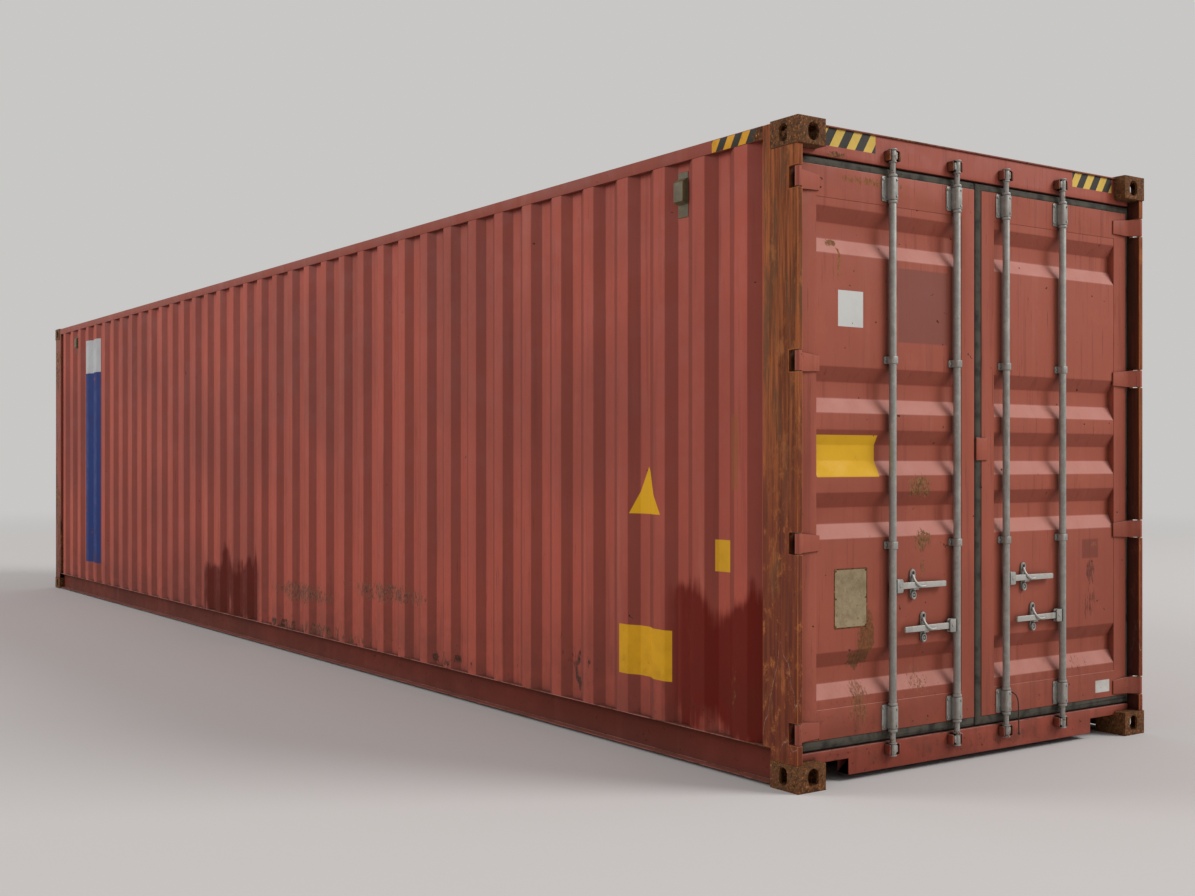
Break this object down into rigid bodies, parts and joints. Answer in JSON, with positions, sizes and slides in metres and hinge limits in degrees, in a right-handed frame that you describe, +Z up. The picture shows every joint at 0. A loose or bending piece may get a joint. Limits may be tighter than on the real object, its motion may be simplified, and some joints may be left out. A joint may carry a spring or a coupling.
{
  "type": "shipping container",
  "caption": "Long corrugated steel freight container with corner castings, double end doors, locking bars, lift handles and a plywood floor over cross members.",
  "frame": {"origin": "centre of the footprint, on the plane under the bottom corner castings", "axes": "+X along the length to the door end, +Z up, -Y to the left side seen facing the doors"},
  "size_m": [12.192, 2.438, 2.896],
  "materials": {
    "red_paint": "weathered oxide red paint with rust at the seams",
    "casting_steel": "rusted cast steel with worn paint",
    "galvanised_steel": "dull galvanised steel with rust spots",
    "gasket_rubber": "weathered grey rubber",
    "deck_wood": "worn plywood",
    "vent_plastic": "khaki moulded cover",
    "rope_fibre": "dirty twisted rope"
  },
  "bodies": {
    "structure": {"bottom_side_rails": "red_paint", "cam_keepers": "galvanised_steel", "corner_castings_front_bottom": "casting_steel", "corner_castings_front_top": "casting_steel", "corner_castings_rear_bottom": "casting_steel", "corner_castings_rear_top": "casting_steel", "cross_members": "red_paint", "door_header": "red_paint", "door_sill": "red_paint", "floor": "deck_wood", "front_corner_posts": "red_paint", "front_sill": "red_paint", "front_top_rail": "red_paint", "front_wall": "red_paint", "gooseneck_tunnel_top": "red_paint", "gooseneck_tunnel_walls": "red_paint", "hinge_pins": "galvanised_steel", "rear_corner_posts": "red_paint", "roof": "red_paint", "side_wall_left": "red_paint", "side_wall_right": "red_paint", "top_side_rails": "red_paint", "ventilators": "vent_plastic"},
    "door_left": {"left_door_frame": "red_paint", "left_door_panel": "red_paint", "left_door_gasket": "gasket_rubber", "left_door_hinges": "red_paint", "left_door_bar_brackets": "galvanised_steel", "left_door_handle_catches": "galvanised_steel"},
    "door_right": {"right_door_frame": "red_paint", "right_door_panel": "red_paint", "right_door_gasket": "gasket_rubber", "right_door_hinges": "red_paint", "right_door_bar_brackets": "galvanised_steel", "right_door_handle_catches": "galvanised_steel", "right_door_seam_plate": "galvanised_steel", "door_tie_rope": "rope_fibre"},
    "bar_1": {"lock_bar_1": "galvanised_steel"},
    "handle_1_body": {"handle_1": "galvanised_steel"},
    "bar_2": {"lock_bar_2": "galvanised_steel"},
    "handle_2_body": {"handle_2": "galvanised_steel"},
    "bar_3": {"lock_bar_3": "galvanised_steel"},
    "handle_3_body": {"handle_3": "galvanised_steel"},
    "bar_4": {"lock_bar_4": "galvanised_steel"},
    "handle_4_body": {"handle_4": "galvanised_steel"}
  },
  "joints": [
    {"name": "door_left_swing", "type": "hinge", "parent": "structure", "child": "door_left", "pos_m": [6.078, -1.201, 0.25], "axis": [0, 0, -1], "range_deg": [0, 265]},
    {"name": "door_right_swing", "type": "hinge", "parent": "structure", "child": "door_right", "pos_m": [6.078, 1.201, 0.25], "axis": [0, 0, 1], "range_deg": [0, 265]},
    {"name": "bar_1_turn", "type": "hinge", "parent": "door_left", "child": "bar_1", "pos_m": [6.055, -0.60365, 0.852], "axis": [0, 0, 1], "range_deg": [-105, 0]},
    {"name": "handle_1_lift", "type": "hinge", "parent": "bar_1", "child": "handle_1_body", "pos_m": [6.055, -0.56365, 0.852], "axis": [1, 0, 0], "range_deg": [0, 20]},
    {"name": "bar_2_turn", "type": "hinge", "parent": "door_left", "child": "bar_2", "pos_m": [6.055, -0.1751, 0.652], "axis": [0, 0, -1], "range_deg": [-105, 0]},
    {"name": "handle_2_lift", "type": "hinge", "parent": "bar_2", "child": "handle_2_body", "pos_m": [6.055, -0.2151, 0.652], "axis": [-1, 0, 0], "range_deg": [0, 20]},
    {"name": "bar_3_turn", "type": "hinge", "parent": "door_right", "child": "bar_3", "pos_m": [6.055, 0.1751, 0.852], "axis": [0, 0, 1], "range_deg": [-105, 0]},
    {"name": "handle_3_lift", "type": "hinge", "parent": "bar_3", "child": "handle_3_body", "pos_m": [6.055, 0.2151, 0.852], "axis": [1, 0, 0], "range_deg": [0, 20]},
    {"name": "bar_4_turn", "type": "hinge", "parent": "door_right", "child": "bar_4", "pos_m": [6.055, 0.60365, 0.652], "axis": [0, 0, -1], "range_deg": [-105, 0]},
    {"name": "handle_4_lift", "type": "hinge", "parent": "bar_4", "child": "handle_4_body", "pos_m": [6.055, 0.56365, 0.652], "axis": [-1, 0, 0], "range_deg": [0, 20]}
  ]
}
